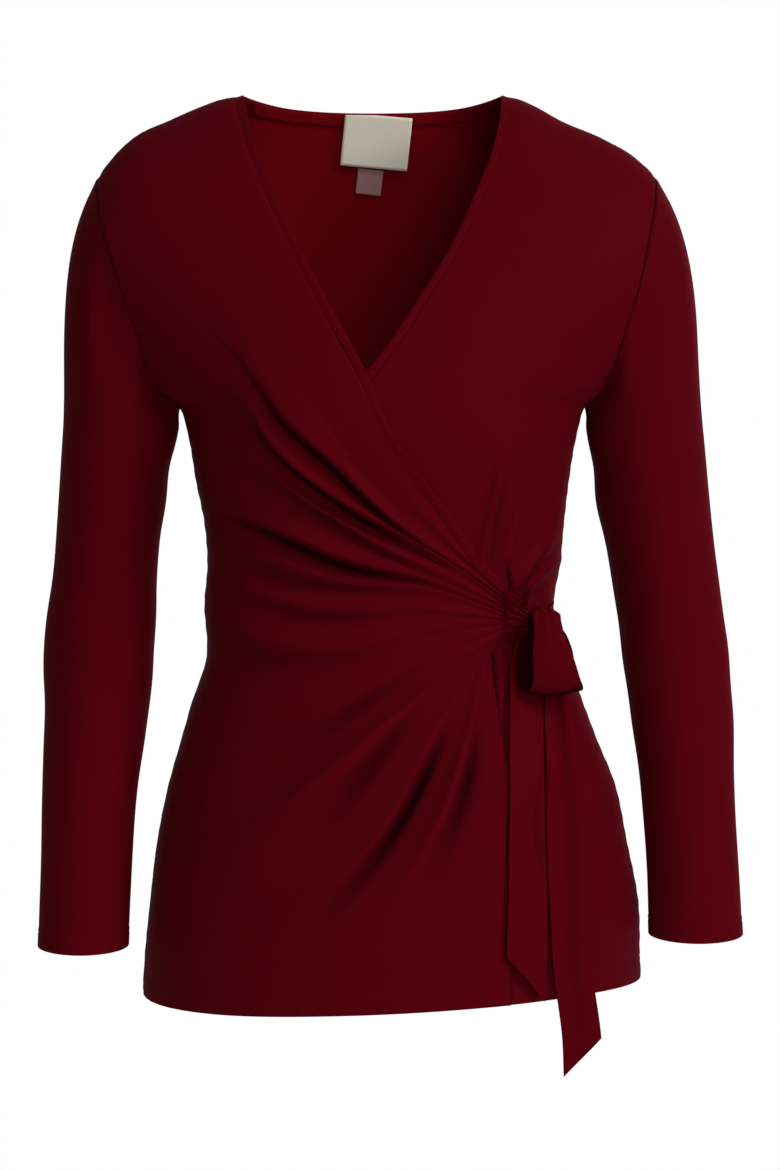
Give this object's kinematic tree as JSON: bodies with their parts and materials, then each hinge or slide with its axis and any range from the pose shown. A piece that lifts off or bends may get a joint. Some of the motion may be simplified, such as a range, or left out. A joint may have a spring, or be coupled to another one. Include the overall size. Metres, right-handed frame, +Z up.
{
  "type": "wrap top",
  "caption": "Long-sleeved jersey wrap top with a V neck, its lapped front gathered at the waist into a tie, kept in its worn hollow form.",
  "frame": {"origin": "midway between the two points where the shoulder seams meet the neckline, at their height", "axes": "+Z up, from the hem to the neck; -Y out of the front; +X towards the wearer's left side, where the tie is"},
  "size_m": [0.488, 0.2332, 0.676],
  "materials": {
    "jersey": "burgundy knitted jersey, matt with a soft sheen",
    "woven_label": "bare woven label, pale grey beige",
    "printed_label": "bare satin care label"
  },
  "bodies": {
    "root": {"front_right": "jersey", "front_left": "jersey", "back": "jersey", "sleeve_right": "jersey", "sleeve_left": "jersey", "neckband_right": "jersey", "neckband_left": "jersey", "neckband_back": "jersey", "tie_tip": "jersey", "tie_side": "jersey", "tie_knot": "jersey", "tie_loop": "jersey", "tie_tail_short": "jersey", "tie_tail_long": "jersey", "label": "woven_label", "care_label": "printed_label"}
  },
  "joints": []
}
